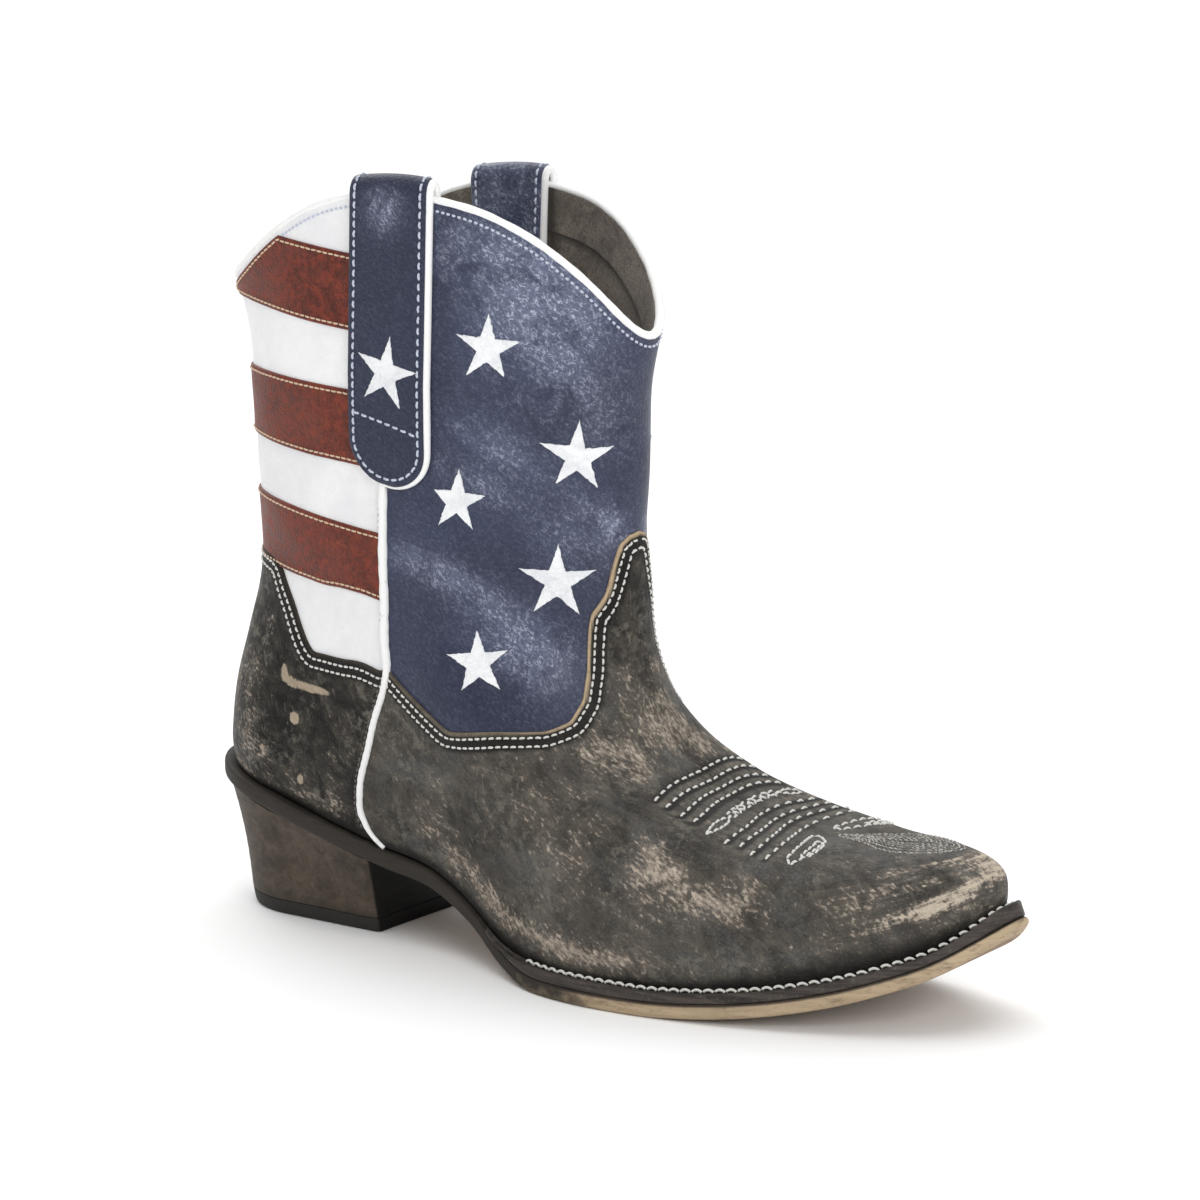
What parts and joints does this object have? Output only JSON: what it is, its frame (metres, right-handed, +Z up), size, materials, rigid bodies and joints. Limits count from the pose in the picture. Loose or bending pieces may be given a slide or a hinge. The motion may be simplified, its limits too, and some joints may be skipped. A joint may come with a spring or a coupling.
{
  "type": "western ankle boot",
  "caption": "Right-foot western ankle boot with snip toe, stacked underslung heel, scalloped collar, pull straps and a star-and-stripe shaft above distressed leather.",
  "frame": {"origin": "centre of the bounding box at floor level, under the sole", "axes": "+X from heel to toe, +Y to the inner side of the foot, +Z up"},
  "size_m": [0.2834, 0.0944, 0.2402],
  "materials": {
    "leather_blue": "glossy crackled blue",
    "leather_dark": "distressed charcoal with tan rub-off",
    "leather_rust": "satin rust red",
    "leather_white": "matt white",
    "leather_sole": "bare cut edge",
    "leather_welt": "dark brown, stitched",
    "leather_stack": "stacked layers, stained brown",
    "rubber_cap": "matt",
    "insole_lining": "suede lining"
  },
  "bodies": {
    "root": {"outsole": "leather_sole", "heel_stack": "leather_stack", "heel_cap": "rubber_cap", "upper": "leather_blue", "insole": "insole_lining", "welt": "leather_welt", "vamp": "leather_dark", "counter": "leather_dark", "stripe_upper": "leather_rust", "stripe_middle": "leather_rust", "stripe_lower": "leather_rust", "collar_binding": "leather_white", "pull_strap_lateral": "leather_blue", "pull_strap_medial": "leather_blue", "side_piping_lateral": "leather_white", "side_piping_medial": "leather_white"}
  },
  "joints": []
}
